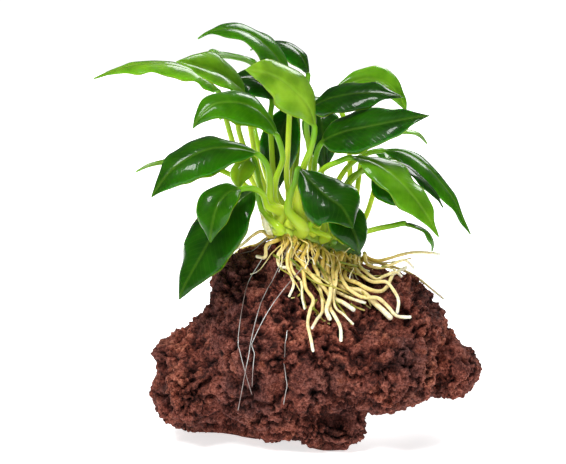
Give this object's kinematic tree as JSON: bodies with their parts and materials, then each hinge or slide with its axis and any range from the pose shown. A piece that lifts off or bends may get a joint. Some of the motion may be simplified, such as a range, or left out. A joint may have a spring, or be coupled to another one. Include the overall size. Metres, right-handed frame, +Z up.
{
  "type": "anubias on stone",
  "caption": "Small broad-leaved water plant whose creeping stem and cord-like roots grip a lump of reddish lava stone that it is tied to.",
  "frame": {"origin": "middle of the stone's flat rest face", "axes": "+Z up, +X to the right as seen from the front, +Y away from the front; the plant leans out towards the front and both sides"},
  "size_m": [0.1408, 0.1156, 0.1498],
  "materials": {
    "lava_stone": "rough porous reddish-brown lava rock",
    "stem": "smooth green stem",
    "old_leaf": "wet glossy dark green leaf",
    "leaf": "wet glossy mid green leaf",
    "young_leaf": "wet glossy bright green leaf",
    "root": "smooth cream root",
    "line": "clear nylon line"
  },
  "bodies": {
    "root": {"lava_stone": "lava_stone", "rhizome": "stem", "young_bud": "stem", "leaf_01": "leaf", "leaf_02": "leaf", "leaf_03": "young_leaf", "leaf_04": "leaf", "leaf_05": "old_leaf", "leaf_06": "leaf", "leaf_07": "young_leaf", "leaf_08": "young_leaf", "leaf_09": "old_leaf", "leaf_10": "young_leaf", "leaf_11": "old_leaf", "leaf_12": "young_leaf", "leaf_13": "leaf", "leaf_14": "leaf", "leaf_15": "old_leaf", "leaf_16": "old_leaf", "leaf_17": "old_leaf", "leaf_18": "old_leaf", "leaf_19": "leaf", "leaf_20": "leaf", "leaf_21": "old_leaf", "leaf_22": "young_leaf", "leaf_23": "young_leaf", "leaf_24": "old_leaf", "leaf_25": "leaf", "leaf_26": "old_leaf", "leaf_27": "leaf", "leaf_28": "leaf", "leaf_29": "leaf", "root_01": "root", "root_02": "root", "root_03": "root", "root_04": "root", "root_05": "root", "root_06": "root", "root_07": "root", "root_08": "root", "root_09": "root", "root_10": "root", "root_11": "root", "root_12": "root", "root_13": "root", "root_14": "root", "root_15": "root", "root_16": "root", "root_17": "root", "root_18": "root", "root_19": "root", "root_20": "root", "root_21": "root", "root_22": "root", "root_23": "root", "tie_line_1": "line", "tie_line_2": "line", "tie_line_3": "line"}
  },
  "joints": []
}
